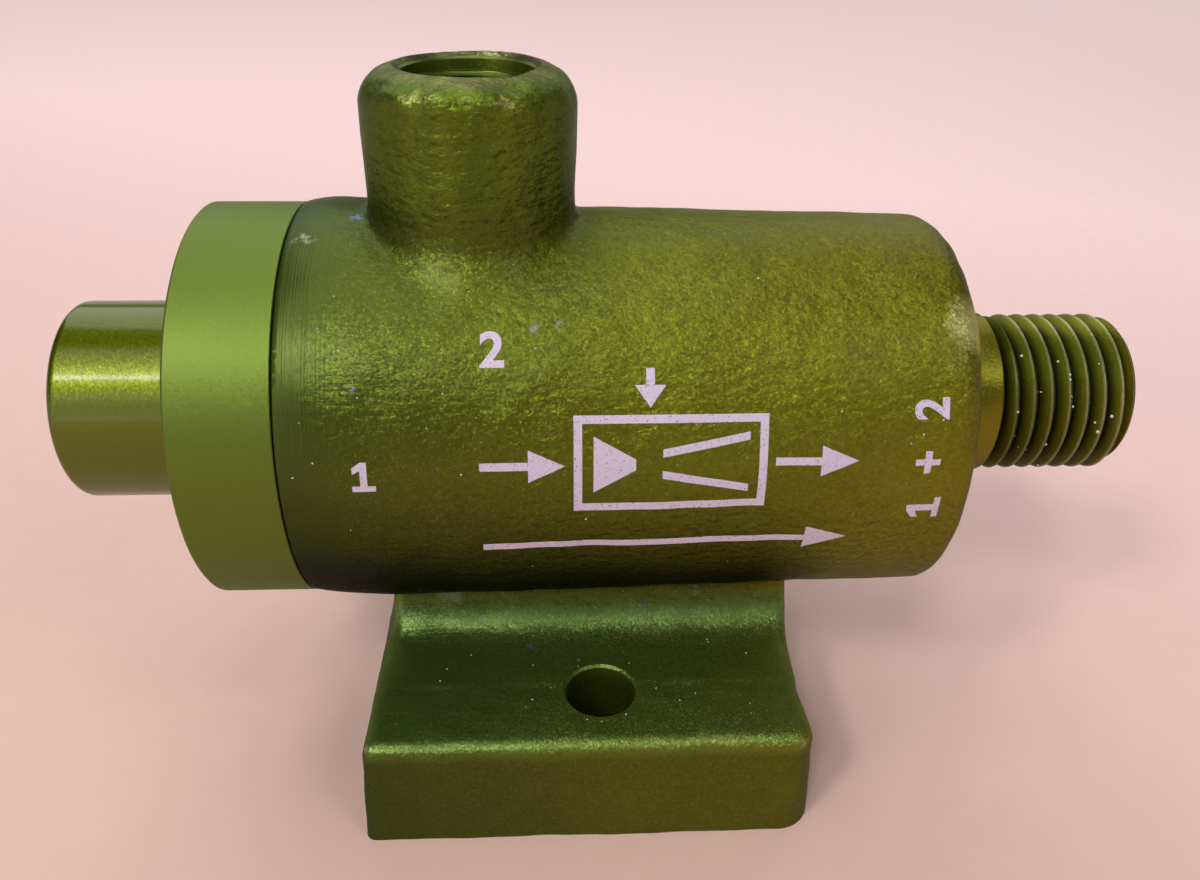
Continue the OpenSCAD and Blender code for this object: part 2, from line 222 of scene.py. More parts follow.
def screw(name, start, length, pitch, root_r, crest_r, centre, along, power=2.3):
    """Closed solid with a right-handed thread of rounded crests and sharp roots. Its ends are ragged."""
    steps, per_turn = 128, 12
    rows = math.ceil(length / pitch * per_turn)
    index = [(n, m) for n in range(rows + 1) for m in range(steps)]
    index += [(rows + 1 + n, 0) for n in range(per_turn)]
    number = {v: i for i, v in enumerate(index)}

    def at(n, m):
        return number[n, m] if m < steps else number[n + per_turn, 0]

    points = []
    for n, m in index:
        share, angle = n % per_turn / per_turn, m / steps * 2 * math.pi
        r = root_r + (crest_r - root_r) * (1 - abs(2 * share - 1) ** power)
        points.append((start + (n / per_turn + m / steps) * pitch, r * math.cos(angle), r * math.sin(angle)))
    faces = [[at(n, m), at(n, m + 1), at(n + 1, m + 1), at(n + 1, m)] for n in range(rows) for m in range(steps)]
    for row, hub_place in ((0, start + pitch / 2), (rows, start + (rows / per_turn + 0.5) * pitch)):
        loop = [at(row, m) for m in range(steps)] + [at(row + n, 0) for n in range(per_turn, 0, -1)]
        hub = len(points)
        points.append((hub_place, 0.0, 0.0))
        for one, two in zip(loop, loop[1:] + loop[:1]):
            faces.append([two, one, hub] if row == 0 else [one, two, hub])
    points = np.array(points)
    if along == "Z":
        points = points[:, [1, 2, 0]]
    return mesh_piece(name, points + np.array(centre), faces)


def apply_modifiers(piece):
    """Gives a piece the mesh that its modifiers make, and clears them."""
    made = bpy.data.meshes.new_from_object(piece.evaluated_get(bpy.context.evaluated_depsgraph_get()))
    piece.modifiers.clear()
    old, piece.data = piece.data, made
    bpy.data.meshes.remove(old)
    made.name = piece.name


def machine(piece, tool, how):
    """Cuts a piece with a solid tool, joins them or keeps their common part, and removes the tool."""
    cut = piece.modifiers.new("cut", "BOOLEAN")
    cut.object, cut.operation, cut.solver = tool, how, "MANIFOLD"
    apply_modifiers(piece)
    bpy.data.meshes.remove(tool.data)


def smooth(piece, material):
    """Smooth shading, sharp where faces meet at more than 32 degrees, and one material."""
    piece.data.polygons.foreach_set("use_smooth", [True] * len(piece.data.polygons))
    piece.data.set_sharp_from_angle(angle=math.radians(32))
    piece.data.materials.clear()
    piece.data.materials.append(material)


def colour(text):
    """Linear colour of a hex sRGB one."""
    share = [int(text[i:i + 2], 16) / 255 for i in (1, 3, 5)]
    return (*(c / 12.92 if c <= 0.04045 else ((c + 0.055) / 1.055) ** 2.4 for c in share), 1)


def new_material(name, hex_colour, metallic, roughness):
    """A material with its Principled shader set, and that shader's node."""
    material = bpy.data.materials.new(name)
    material.use_nodes = True
    shader = material.node_tree.nodes["Principled BSDF"]
    shader.inputs["Base Color"].default_value = colour(hex_colour)
    shader.inputs["Metallic"].default_value = metallic
    shader.inputs["Roughness"].default_value = roughness
    return material, shader


def node(tree, kind, settings=None, **inputs):
    """Adds a node. Settings are its properties; inputs, by name or as _number, are values or other nodes' outputs."""
    made = tree.nodes.new(kind)
    for key, value in (settings or {}).items():
        setattr(made, key, value)
    for key, value in inputs.items():
        socket = made.inputs[int(key[1:])] if key[1:].isdigit() else made.inputs[key.replace("_", " ")]
        if isinstance(value, bpy.types.NodeSocket):
            tree.links.new(value, socket)
        else:
            socket.default_value = value
    return made


def grain(tree, size_mm, detail=2.0, stretch=(1, 1, 1), rough=0.5):
    """Noise between 0 and 1 whose spots are that many millimetres wide."""
    place = node(tree, "ShaderNodeTexCoord").outputs["Object"]
    if stretch != (1, 1, 1):
        place = node(tree, "ShaderNodeMapping", Vector=place, Scale=stretch).outputs[0]
    return node(tree, "ShaderNodeTexNoise", Vector=place, Scale=1 / (size_mm * MM), Detail=detail,
                Roughness=rough).outputs["Fac"]


def flakes(tree, size_mm, amount, base=None):
    """Tilts the normal at random in cells that many millimetres wide, as the grains of a metal's skin do."""
    place = node(tree, "ShaderNodeTexCoord").outputs["Object"]
    cell = node(tree, "ShaderNodeTexVoronoi", Vector=place, Scale=1 / (size_mm * MM)).outputs["Color"]
    tilt = node(tree, "ShaderNodeVectorMath", {"operation": "SUBTRACT"}, _0=cell, _1=(0.5, 0.5, 0.5)).outputs[0]
    tilt = node(tree, "ShaderNodeVectorMath", {"operation": "SCALE"}, _0=tilt, Scale=amount).outputs[0]
    base = base or node(tree, "ShaderNodeNewGeometry").outputs["Normal"]
    total = node(tree, "ShaderNodeVectorMath", {"operation": "ADD"}, _0=base, _1=tilt).outputs[0]
    return node(tree, "ShaderNodeVectorMath", {"operation": "NORMALIZE"}, _0=total).outputs[0]


def weighted(tree, *terms):
    """Sum of (weight, value) terms."""
    total = 0.0
    for weight, value in terms:
        total = node(tree, "ShaderNodeMath", {"operation": "MULTIPLY_ADD"}, _0=value, _1=weight, _2=total).outputs[0]
    return total


def zone(tree, *limits, strength=1.0):
    """Product of shares. A limit (length, start, full) gives one that goes from 0 to 1 between two millimetre marks."""
    share = strength
    for factor in limits:
        if isinstance(factor, tuple):
            length, start, full = factor
            factor = node(tree, "ShaderNodeMapRange", _0=length, _1=start * MM, _2=full * MM).outputs[0]
        share = node(tree, "ShaderNodeMath", {"operation": "MULTIPLY"}, _0=factor, _1=share).outputs[0]
    return share


def stained(tree, tone, *layers):
    """A colour with (share, hex colour) layers laid over it, one after another."""
    for share, stain in layers:
        mix = node(tree, "ShaderNodeMix", {"data_type": "RGBA"}, _0=share, _6=tone, _7=colour(stain))
        tone = mix.outputs[2]
    return tone


def off_axis(tree, one, two):
    """Distance from the line where both lengths are zero."""
    both = node(tree, "ShaderNodeCombineXYZ", X=one, Y=two).outputs[0]
    return node(tree, "ShaderNodeVectorMath", {"operation": "LENGTH"}, _0=both).outputs["Value"]


# Cast aluminium, blasted and dyed green in the anodising bath: a broken, sparkling sheen, smoother towards
# the cap and rougher towards the exhaust. Its colour is darker and greener towards the cap, lighter and yellower
# towards the exhaust.
cast_metal, shader = new_material("green anodised cast aluminium", "#535B10", 0.8, 0.4)
tree = cast_metal.node_tree
place = node(tree, "ShaderNodeSeparateXYZ", Vector=node(tree, "ShaderNodeTexCoord").outputs["Object"])
along, height = place.outputs["X"], place.outputs["Z"]
from_port = off_axis(tree, weighted(tree, (1.0, along), (-BOSS_X * MM, 1.0)), place.outputs["Y"])
from_axis = off_axis(tree, weighted(tree, (1.0, height), (-AXIS_Z * MM, 1.0)), place.outputs["Y"])
fine, coarse, blotch = grain(tree, 0.24, 3, rough=0.7), grain(tree, 0.65, 2, (1, 1, 1.5)), grain(tree, 6, 2)
turned, brushed = grain(tree, 0.16, 2, (1, 0.004, 0.004)), grain(tree, 0.3, 2, (0.12, 1, 1))
# Turned places: the band next to the face, the exhaust stub and the port's bore
band = zone(tree, (weighted(tree, (1.0, along), (0.003, coarse)), -16.5, -19.8))
stub = weighted(tree, (1.0, zone(tree, (along, 27.2, 27.8))),
                (1.0, zone(tree, (height, 40, 41), (from_port, 5.3, 5.0))))
# Relief in the skin: deeper on the boss, shallower on the foot, fine and brushed towards the band
on_boss, on_foot = zone(tree, (height, 48, 51)), zone(tree, (height, 12.5, 11.5))
relief = zone(tree, grain(tree, 1.15, 2, (1, 1, 1.9)), weighted(tree, (1.0, 1.0), (1.3, on_boss), (-0.8, on_foot)))
coarse = node(tree, "ShaderNodeMix", _0=zone(tree, on_foot, strength=0.7), _2=coarse, _3=0.5).outputs[0]
skin = weighted(tree, (0.6, fine), (0.9, coarse), (1.5, relief))
for share, finish in (
        (zone(tree, (along, -4, -20)), ((0.2, fine), (0.15, coarse), (0.45, relief), (0.5, brushed))),
        (band, ((0.1, fine), (0.45, turned))),
        (stub, ((0.3, fine),))):
    skin = node(tree, "ShaderNodeMix", _0=share, _2=skin, _3=weighted(tree, *finish)).outputs[0]
# Flat grains of two sizes, tilted at random, which catch the light one by one. Real blast marks are less
# than 0.1 mm wide, and are drawn coarser so that they show.
band = node(tree, "ShaderNodeMix", _0=stub, _2=band, _3=0.85).outputs[0]
cast = weighted(tree, (1.0, 1.0), (-1.0, band))
normal = None
for flake_mm, by_exhaust, by_cap, on_band in ((0.14, 0.3, 0.2, 0.05), (0.28, 0.1, 0.04, 0.0)):
    tilt = node(tree, "ShaderNodeMapRange", _0=along, _1=-4 * MM, _2=-16 * MM, _3=by_exhaust, _4=by_cap).outputs[0]
    tilt = node(tree, "ShaderNodeMix", _0=band, _2=tilt, _3=on_band).outputs[0]
    normal = flakes(tree, flake_mm, tilt, normal)
bump = node(tree, "ShaderNodeBump", Strength=0.8, Distance=0.14 * MM, Height=skin, Normal=normal)
tree.links.new(bump.outputs[0], shader.inputs["Normal"])
# Base colour: darker and greener towards the cap, lighter and yellower towards the exhaust
base_tone = stained(tree, colour("#424F13"), (zone(tree, (along, -22, 4)), "#676D14"),
              (zone(tree, (along, 4, 30)), "#787214"))
# Value varied at random in 6 mm blotches, and darker in fine specks, which are painted shade of the pits
tone_and_pit_shade = node(tree, "ShaderNodeMapRange", _0=blotch, _1=0.35, _2=0.65, _3=0.95, _4=1.06).outputs[0]
tone_and_pit_shade = weighted(tree, (1.0, tone_and_pit_shade), (1.0, grain(tree, 0.32, 3, rough=0.65)), (-0.5, 1.0))
tone_and_pit_shade = node(tree, "ShaderNodeMix", _0=band, _2=tone_and_pit_shade, _3=1.0).outputs[0]
tone = node(tree, "ShaderNodeHueSaturation", Color=base_tone, Value=tone_and_pit_shade).outputs[0]
# Painted glints as bright grains, a film in the leg's fillet and on the foot that is partly dust and partly painted
# highlight, painted shade on the foot's front face and under the barrel, and a painted reflection on the boss's land
# Painted glints: sparse bright specks laid into the base colour
painted_glints = node(tree, "ShaderNodeMapRange", _0=grain(tree, 0.14, 1), _1=0.66, _2=0.74).outputs[0]
# Film: pale dust in the leg's fillet and a little on the foot's top, laid where the fillet's highlight falls and
# brightening it, so partly a painted highlight
film_and_painted_highlight = weighted(tree, *((share, zone(tree, (height, start, full))) for share, start, full in (
    (0.92, 14.1, 12.4), (-0.48, 11.6, 10.7), (-0.26, 10.25, 9.7), (-0.18, 9.5, 8.8))))
# Painted shade on the barrel's underside, above the leg and the foot
painted_shade_under = zone(tree, (height, 13.6, 15.2), (height, 34.5, 21.5), (along, 18, 12))
layers = [(zone(tree, painted_glints, cast, strength=0.42), "#A5AC5A"), (film_and_painted_highlight, "#74934A"),
          # Painted shade: the foot's front face darker, and the barrel's underside near black
          (zone(tree, (height, 9.8, 8.8), strength=0.3), "#2F440F"), (zone(tree, painted_shade_under, strength=0.96), "#11160A"),
          # Painted reflection of the pale surround on the boss's flat land, tinted pinkish grey
          (zone(tree, (height, 58.6, 58.9), strength=0.5), "#988076")]
# Thread: painted light on its upper side, painted shade in the roots and on its lower side, and a painted highlight
# along the crests
cut = zone(tree, (along, 32.3, 32.5), (along, 42.9, 42.6))
layers += [(zone(tree, cut, (height, 29, 35), strength=0.9), "#7A8015"),
           (zone(tree, cut, (from_axis, 6.3, 5.6)), "#1A1F08"),
           (zone(tree, cut, (height, 34, 27), strength=0.5), "#24300A"),
           (zone(tree, cut, (from_axis, 6.42, 6.54), strength=0.85), "#A9AC7E")]
# Bare metal on knocked edges, painted highlights on the boss's front rim and on the barrel's rounded exhaust end, and
# bluish stains: place, size, how many times wider than high, and strength
for centre, size_mm, wide, strength, stain in (
        # Painted highlights along the boss's front rim, drawn as bare metal
        ((-12.6, -7.2, 58.2), 0.4, 3.5, 0.55, "#CCC87C"), ((-6.6, -7.2, 57.9), 0.4, 2.6, 0.55, "#CCC87C"),
        # Painted highlight on the barrel's rounded exhaust end, partly bare metal worn through there
        ((26.7, -9.6, 42.6), 2.7, 1, 0.85, "#DED88C"), ((27, -11.6, 39.2), 1.2, 1, 0.6, "#D6CF98"),
        ((-21.3, -4.5, 47.6), 0.5, 2, 0.5, "#C9C4B4"), ((-12.3, -7.5, 54.7), 0.1, 2, 0.8, "#D8D49A"),
        ((-19, -17.8, 10), 0.4, 1, 0.7, "#B9B98A"), ((16.4, -18.3, 9.9), 0.5, 1, 0.5, "#B9B98A"),
        ((-18.2, -2.2, 48.5), 0.45, 1.3, 0.6, "#7F86C0"), ((-13.2, -6.2, 47), 0.4, 1, 0.5, "#7F86C0"),
        ((-4.9, -11.4, 43.7), 0.4, 1.2, 0.4, "#7F86A8"), ((-3.1, -11.3, 44), 0.5, 1, 0.4, "#8A90B0"),
        ((-12.2, -15.9, 34.9), 0.2, 1, 0.5, "#7F86A8"), ((-17.4, -14.1, 40.4), 0.3, 1, 0.6, "#7F86C0"),
        ((29.9, -4.4, 38), 0.4, 1, 0.8, "#8C90B4"), ((-11.1, -3.3, 13.9), 0.55, 1, 0.75, "#7F88B4"),
        ((9.1, -3.4, 13.7), 0.5, 1, 0.75, "#A9B0CE"), ((4.3, -4.2, 12.5), 0.5, 1.2, 0.6, "#7F88B4"),
        ((-13.2, -3.4, 13.6), 0.9, 1.5, 0.4, "#94AA94"), ((-6, -6.6, 10.8), 0.5, 1.2, 0.6, "#7F88B4")):
    squeeze = Vector((1 / wide, 1 / wide, 1))
    away = node(tree, "ShaderNodeVectorMath", {"operation": "MULTIPLY"}, _1=squeeze,
                _0=node(tree, "ShaderNodeTexCoord").outputs["Object"]).outputs[0]
    away = node(tree, "ShaderNodeVectorMath", {"operation": "DISTANCE"}, _0=away,
                _1=Vector(centre) * squeeze * MM).outputs["Value"]
    away = weighted(tree, (1.0, away), (0.0014, fine), (0.0012, coarse))
    layers.append((zone(tree, (away, size_mm + 1.3, size_mm * 0.5 + 1.2), strength=strength), stain))
# Boss: greener, with dark streaks down it, and painted shade in the fillet round its foot
streaks = node(tree, "ShaderNodeMapRange", _0=grain(tree, 1.9, 1, (1, 1, 0.1)), _1=0.42, _2=0.62).outputs[0]
layers += [(zone(tree, on_boss, strength=0.4), "#667A1C"),
           (zone(tree, streaks, (height, 48.5, 51.5), strength=0.35), "#34500F"),
           # Painted shade round the boss's foot
           (zone(tree, (height, 47.2, 48.2), (height, 52.5, 49.2), (from_port, 9.8, 8.6), strength=0.22), "#1C260A")]
tree.links.new(stained(tree, tone, *layers), shader.inputs["Base Color"])
# Edge tint, darkened in the same painted shade under the barrel
tree.links.new(stained(tree, colour("#8A9440"), (painted_shade_under, "#1A200C")), shader.inputs["Specular Tint"])
rough = node(tree, "ShaderNodeMapRange", _0=coarse, _1=0.3, _2=0.7, _3=0.36, _4=0.44).outputs[0]
rough = node(tree, "ShaderNodeMix", _0=stub, _2=rough, _3=0.33).outputs[0]
tree.links.new(rough, shader.inputs["Roughness"])
coat = node(tree, "ShaderNodeMix", _0=band, _2=0.2, _3=0.24).outputs[0]
coat = node(tree, "ShaderNodeMix", _0=painted_shade_under, _2=coat, _3=0.0).outputs[0]
tree.links.new(coat, shader.inputs["Coat Weight"])
shader.inputs["Coat Roughness"].default_value = 0.4

SKIN_STEP = 0.45
points, faces = shrink_wrap(casting, (-24.6, -19.3, -1.7), (34.4, 19.3, 59.9), SKIN_STEP)
body = mesh_piece("body_casting", points, faces)
# Turned face of the barrel and faced end of the collar, each with its chamfer, cut by tools that reach
# clear of the casting
AXIS, CLEAR_R = (0, 0, AXIS_Z), 60
machine(body, lathe("face_cut", [
    (FACE_X - 2, 0), (FACE_X - 2, CLEAR_R), (FACE_X + 0.6, CLEAR_R), (FACE_X + 0.6, 16.5), (FACE_X, 15.92),
    (FACE_X, 0)], AXIS, "X", 192), "DIFFERENCE")
machine(body, lathe("collar_cut", [
    (COLLAR_END_X, 0), (COLLAR_END_X, 6.4), (COLLAR_END_X - 0.3, 6.8), (COLLAR_END_X - 0.3, CLEAR_R),
    (COLLAR_END_X + 3, CLEAR_R), (COLLAR_END_X + 3, 0)], AXIS, "X"), "DIFFERENCE")
# Exhaust thread, with a relief groove behind it and a chamfered tip
THREAD_R, ROOT_R, THREAD_PITCH, GROOVE_R = 6.6, 5.6, 1.45, 5.35
thread = screw("thread", start=30.53, length=14, pitch=THREAD_PITCH, root_r=ROOT_R, crest_r=THREAD_R, centre=AXIS,
               along="X", power=1.15)
machine(thread, lathe("thread_blank", [
    (31.5, 0), (31.5, GROOVE_R), (32.7, GROOVE_R), (33.2, THREAD_R), (TIP_X - 0.9, THREAD_R), (TIP_X, 5.7),
    (TIP_X, 0)], AXIS, "X"), "INTERSECT")
machine(body, thread, "UNION")
# Bores along the air way: for the cap's spigot, the chamber, the diffuser and the exhaust
SPIGOT_BORE_R, CHAMBER_R, DIFFUSER_BORE_R, EXHAUST_R = 11.55, 10, 6.05, 4.3
SPIGOT_BORE_END_X, CHAMBER_END_X, DIFFUSER_SEAT_X = -13.8, 1, 24.2
machine(body, lathe("bores", [
    (FACE_X - 1, 0), (FACE_X - 1, SPIGOT_BORE_R), (SPIGOT_BORE_END_X, SPIGOT_BORE_R), (SPIGOT_BORE_END_X, CHAMBER_R),
    (CHAMBER_END_X, CHAMBER_R), (CHAMBER_END_X, DIFFUSER_BORE_R), (DIFFUSER_SEAT_X, DIFFUSER_BORE_R),
    (DIFFUSER_SEAT_X, EXHAUST_R), (TIP_X - 0.4, EXHAUST_R), (TIP_X + 1, 5.7), (TIP_X + 1, 0)],
    AXIS, "X"), "DIFFERENCE")
# Vacuum port: passage, tapped bore and chamfered mouth
PORT, PORT_PITCH, PASSAGE_R, TAPPED_R, PORT_FLOOR_Z = (BOSS_X, 0, 0), 0.94, 4, 4.25, 48.5
machine(body, lathe("port_bore", [
    (AXIS_Z, 0), (AXIS_Z, PASSAGE_R), (PORT_FLOOR_Z, PASSAGE_R), (PORT_FLOOR_Z, TAPPED_R), (57.7, TAPPED_R),
    (57.95, 4.75), (58.7, 4.85), (61, 7.1), (61, 0)], PORT, "Z"), "DIFFERENCE")
tap = screw("port_tap", start=46, length=14, pitch=PORT_PITCH, root_r=4.15, crest_r=4.75, centre=PORT, along="Z")
machine(tap, lathe("tap_blank", [
    (PORT_FLOOR_Z + 0.2, 0), (PORT_FLOOR_Z + 0.2, 5), (57.9, 5), (57.9, 0)], PORT, "Z"), "INTERSECT")
machine(body, tap, "DIFFERENCE")
# Foot holes and the flat underside
for side in (-1, 1):
    machine(body, lathe("foot_drill", [
        (-2, 0), (-2, 3.2), (0, 3.2), (0.25, HOLE_R), (FOOT_T - 0.15, HOLE_R), (FOOT_T + 1, HOLE_R + 1.15),
        (FOOT_T + 1, 0)], (0, side * HOLE_Y, 0), "Z", 64), "DIFFERENCE")
machine(body, lathe("foot_mill", [(-5, 0), (-5, CLEAR_R), (0, CLEAR_R), (0, 0)], (0, 0, 0), "Z"), "DIFFERENCE")
smooth(body, cast_metal)
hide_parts("body")
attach(body, "root")

# --- Supply cap -----------------------------------------------------------------------------
# Hub, flange and spigot turned smooth from one bar, then anodised with the body. The spigot
# screws into the body; the supply port in the hub's end takes a tapered pipe thread.
CAP_END_X, HUB_X, FLANGE_X, SPIGOT_END_X = -42.1, -30.5, -23.12, -14.0
HUB_R, FLANGE_R, SPIGOT_R = 8.05, 15.95, 11.5
SUPPLY_R, SUPPLY_WAY_R, NOZZLE_HOLE_R, RING_GLAND_R = 4.45, 2.75, 4.05, 5.3
SUPPLY_END_X, NOZZLE_HOLE_X, RING_GLAND_X = -31.4, -21.6, -15.2

# Bar turned to a fine finish and dyed green: lathe lines under a clear satin sheen, the hub glossier and
# yellower than the flange. The lines are drawn 0.14 mm apart, coarser than the real feed, so that they show.
turned_metal, shader = new_material("green anodised turned aluminium", "#57701C", 0.95, 0.4)
tree = turned_metal.node_tree
along = node(tree, "ShaderNodeSeparateXYZ", Vector=node(tree, "ShaderNodeTexCoord").outputs["Object"]).outputs["X"]
lines = grain(tree, 0.14, 2, (1, 0.004, 0.004))
bump = node(tree, "ShaderNodeBump", Strength=0.25, Distance=0.02 * MM, Height=lines, Normal=flakes(tree, 0.12, 0.12))
tree.links.new(bump.outputs[0], shader.inputs["Normal"])
base_tone = stained(tree, colour("#5E6809"), (zone(tree, (along, -33, HUB_X)), "#607413"))
tree.links.new(base_tone, shader.inputs["Base Color"])
for socket, on_hub, on_flange in (("Roughness", 0.4, 0.54), ("Coat Roughness", 0.14, 0.5), ("Coat Weight", 0.65, 0.6)):
    finish = node(tree, "ShaderNodeMapRange", _0=along, _1=(HUB_X - 0.4) * MM, _2=HUB_X * MM, _3=on_hub, _4=on_flange)
    tree.links.new(finish.outputs[0], shader.inputs[socket])
shader.inputs["Specular Tint"].default_value = colour("#A9B46A")

RIM_R, HUB_FILLET_R = 0.8, 0.35
rim = [(CAP_END_X + RIM_R - RIM_R * math.cos(t), HUB_R - RIM_R + RIM_R * math.sin(t))
       for t in np.radians(range(0, 91, 15))]
root = [(HUB_X - HUB_FILLET_R + HUB_FILLET_R * math.sin(t), HUB_R + HUB_FILLET_R - HUB_FILLET_R * math.cos(t))
        for t in np.radians(range(0, 91, 30))]
cap = lathe("supply_cap", [
    (CAP_END_X, 0), *rim, *root, (HUB_X, FLANGE_R - 0.2), (HUB_X + 0.2, FLANGE_R), (FLANGE_X - 0.06, FLANGE_R),
    (FLANGE_X, FLANGE_R - 0.06), (FLANGE_X, SPIGOT_R), (SPIGOT_END_X - 0.6, SPIGOT_R),
    (SPIGOT_END_X, SPIGOT_R - 0.6), (SPIGOT_END_X, 0)], AXIS, "X", 192)
machine(cap, lathe("cap_bores", [
    (CAP_END_X - 1, 0), (CAP_END_X - 1, SUPPLY_R + 1.7), (CAP_END_X + 0.7, SUPPLY_R), (SUPPLY_END_X, SUPPLY_R),
    (SUPPLY_END_X, SUPPLY_WAY_R), (NOZZLE_HOLE_X, SUPPLY_WAY_R), (NOZZLE_HOLE_X, NOZZLE_HOLE_R),
    (RING_GLAND_X, NOZZLE_HOLE_R), (RING_GLAND_X, RING_GLAND_R), (SPIGOT_END_X + 1, RING_GLAND_R),
    (SPIGOT_END_X + 1, 0)], AXIS, "X"), "DIFFERENCE")
machine(cap, screw("cap_tap", start=-44, length=10.8, pitch=PORT_PITCH, root_r=4.4, crest_r=5.05, centre=AXIS,
                   along="X"), "DIFFERENCE")
smooth(cap, turned_metal)
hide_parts("inlet_cap")
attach(cap, "root")

# --- Seals, nozzle and diffuser -------------------------------------------------------------
# The solids' own shapes: moulded nitrile rings, a brass nozzle and a diffuser turned from plain
# aluminium. The rubber is matt with a faint bloom, and the metals show fine lathe lines.
rubber, shader = new_material("black nitrile rubber", "#141414", 0.0, 0.55)
tree = rubber.node_tree
bloom = grain(tree, 0.5, 3)
share = node(tree, "ShaderNodeMapRange", _0=bloom, _1=0.35, _2=0.65).outputs[0]
tree.links.new(stained(tree, colour("#111111"), (share, "#1A1A1A")), shader.inputs["Base Color"])
rough = node(tree, "ShaderNodeMapRange", _0=bloom, _1=0.3, _2=0.7, _3=0.48, _4=0.62)
tree.links.new(rough.outputs[0], shader.inputs["Roughness"])
brass, brass_shader = new_material("turned brass", "#B5923F", 1.0, 0.3)
plain_metal, plain_shader = new_material("plain turned aluminium", "#B9BCBE", 1.0, 0.32)
for metal, shader, bright, dull in ((brass, brass_shader, "#B5923F", "#9A7A34"),
                                    (plain_metal, plain_shader, "#B9BCBE", "#A3A6A8")):
    tree = metal.node_tree
    lines = grain(tree, 0.12, 2, (1, 0.004, 0.004))
    bump = node(tree, "ShaderNodeBump", Strength=0.25, Distance=0.02 * MM, Height=lines)
    tree.links.new(bump.outputs[0], shader.inputs["Normal"])
    patches = node(tree, "ShaderNodeMapRange", _0=grain(tree, 1.5, 2), _1=0.4, _2=0.7).outputs[0]
    tree.links.new(stained(tree, colour(bright), (patches, dull)), shader.inputs["Base Color"])
    rough = node(tree, "ShaderNodeMapRange", _0=lines, _1=0.3, _2=0.7, _3=0.26, _4=0.36)
    tree.links.new(rough.outputs[0], shader.inputs["Roughness"])
for name, material in (("cap_gasket", rubber), ("nozzle_ring", rubber), ("diffuser_front_ring", rubber),
                       ("diffuser_rear_ring", rubber), ("nozzle", brass), ("diffuser", plain_metal)):
    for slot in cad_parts[name].material_slots:
        slot.material = material

# --- Printed marks --------------------------------------------------------------------------
# Lavender screen print on the barrel: plain port numbers, a generic ejector symbol and a flow
# arrow. Each mark is drawn flat, along the barrel and up round it, and wrapped onto the cast skin.
# The matt ink is thin over the grain's high spots, so the metal shows through it in specks.
ink, shader = new_material("lavender screen-print ink", "#D2C2DA", 0.0, 0.55)
tree = ink.node_tree
thick = node(tree, "ShaderNodeMapRange", _0=grain(tree, 0.16, 3, rough=0.7), _1=0.34, _2=0.42).outputs[0]
tree.links.new(stained(tree, colour("#7C7A58"), (thick, "#D2C2DA")), shader.inputs["Base Color"])
INK_T, WRAP_R, WRAP_STEP = 0.05, 15.85, 0.6
marks = bmesh.new()


def stamp(curve, turn=0, place=(0, 0)):
    """Adds a filled curve to the marks, turned by degrees and moved to its place."""
    stamper = bpy.data.objects.new("stamper", curve)
    bpy.context.scene.collection.objects.link(stamper)
    flat = bpy.data.meshes.new_from_object(stamper.evaluated_get(bpy.context.evaluated_depsgraph_get()))
    flat.transform(Matrix.Translation((*place, 0)) @ Matrix.Rotation(math.radians(turn), 4, "Z"))
    marks.from_mesh(flat)
    bpy.data.objects.remove(stamper)
    bpy.data.meshes.remove(flat)


def shape(outlines):
    """A flat filled curve from closed outlines; one inside another is a hole."""
    curve = bpy.data.curves.new("shape", "CURVE")
    curve.dimensions, curve.fill_mode = "2D", "BOTH"
    for outline in outlines:
        spline = curve.splines.new("POLY")
        spline.points.add(len(outline) - 1)
        spline.points.foreach_set("co", [v for point in outline for v in (*point, 0, 1)])
        spline.use_cyclic_u = True
    return curve


def number(text, size):
    """A digit as a filled curve; the one is drawn with a flag and a foot."""
    if text == "1":
        one = [(-0.75, -1), (0.75, -1), (0.75, -0.62), (0.24, -0.62), (0.24, 1), (-0.16, 1), (-0.7, 0.62),
               (-0.7, 0.2), (-0.22, 0.44), (-0.22, -0.62), (-0.75, -0.62)]
        return shape([[(x * size * 0.36, y * size * 0.36) for x, y in one]])
    glyph = bpy.data.curves.new("glyph", "FONT")
    glyph.body, glyph.size, glyph.offset = text, size, 0.1
    glyph.align_x, glyph.align_y = "CENTER", "CENTER"
    return glyph


for digit, size, turn, place in (("1", 3, 0, (-17, 2)), ("2", 3.5, 0, (-8, 10.6)), ("1", 3.4, 90, (23.3, -1.7)),
                                 ("+", 3.4, 90, (23.3, 2.2)), ("2", 3.4, 90, (23.3, 6.3))):
    stamp(number(digit, size), turn, place)
stamp(shape((
    [(-2.4, -1.1), (11.4, -1.1), (11.4, 6.1), (-2.4, 6.1)],
    [(-1.8, -0.5), (10.8, -0.5), (10.8, 5.5), (-1.8, 5.5)],
    [(-9, 2.2), (-5.6, 2.2), (-5.6, 1.3), (-3, 2.5), (-5.6, 3.7), (-5.6, 2.8), (-9, 2.8)],
    [(-1, 0.4), (2, 2.1), (2, 2.9), (-1, 4.6)],
    [(3.9, 3), (10.1, 4.2), (10.1, 4.8), (3.9, 3.6)],
    [(3.9, 2), (10.1, 0.8), (10.1, 0.2), (3.9, 1.4)],
    [(12, 2.2), (15.3, 2.2), (15.3, 1.3), (18, 2.5), (15.3, 3.7), (15.3, 2.8), (12, 2.8)],
    [(2.7, 9.4), (2.7, 8.2), (1.9, 8.2), (3, 6.6), (4.1, 8.2), (3.3, 8.2), (3.3, 9.4)],
    [(-9, -4.7), (14.8, -4.7), (14.8, -5.6), (18, -4.4), (14.8, -3.2), (14.8, -4.1), (-9, -4.1)])))
